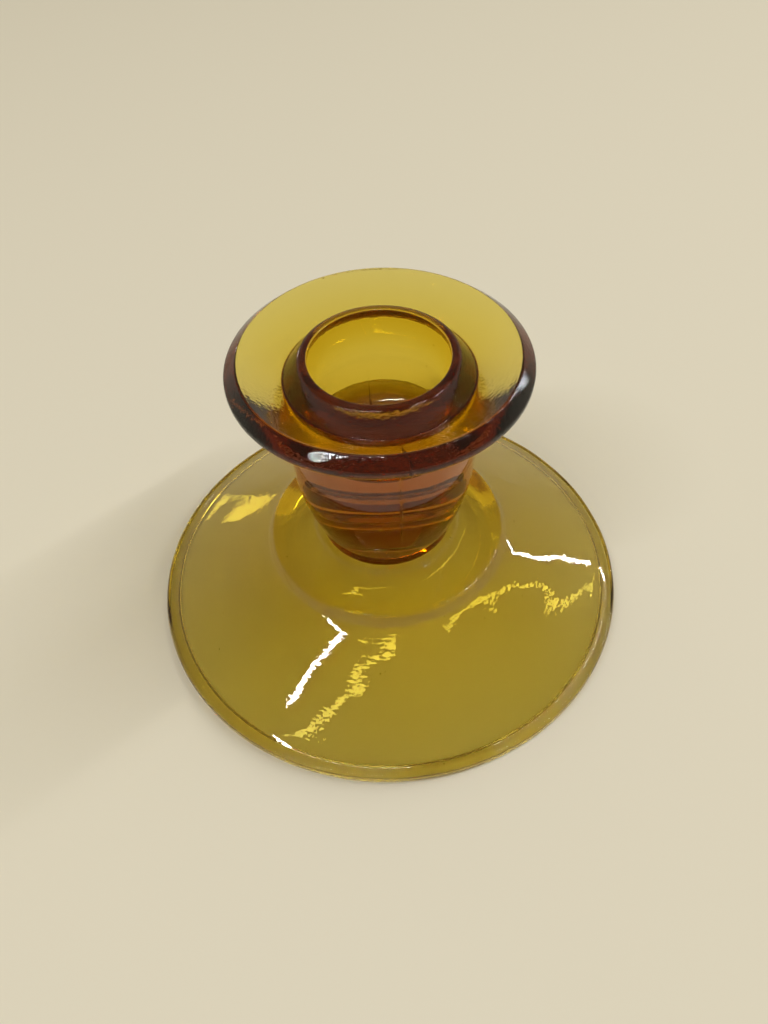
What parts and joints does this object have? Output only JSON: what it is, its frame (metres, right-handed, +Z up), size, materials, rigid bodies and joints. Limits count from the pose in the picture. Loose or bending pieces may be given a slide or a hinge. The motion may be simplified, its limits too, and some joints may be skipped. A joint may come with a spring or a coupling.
{
  "type": "glass candlestick",
  "caption": "Low amber pressed-glass candlestick with a wide conical foot, a cup with a tapered candle socket and a dished drip flange.",
  "frame": {"origin": "centre of the foot's resting ring, on the surface it stands on", "axes": "+Z up along the axis of revolution, from the foot to the mouth of the cup"},
  "size_m": [0.102, 0.102, 0.0659],
  "materials": {
    "amber_glass": "smooth fire-polished pressed glass, amber through its depth"
  },
  "bodies": {
    "root": {"foot": "amber_glass", "joining_wafer": "amber_glass", "candle_cup": "amber_glass", "drip_flange": "amber_glass"}
  },
  "joints": []
}
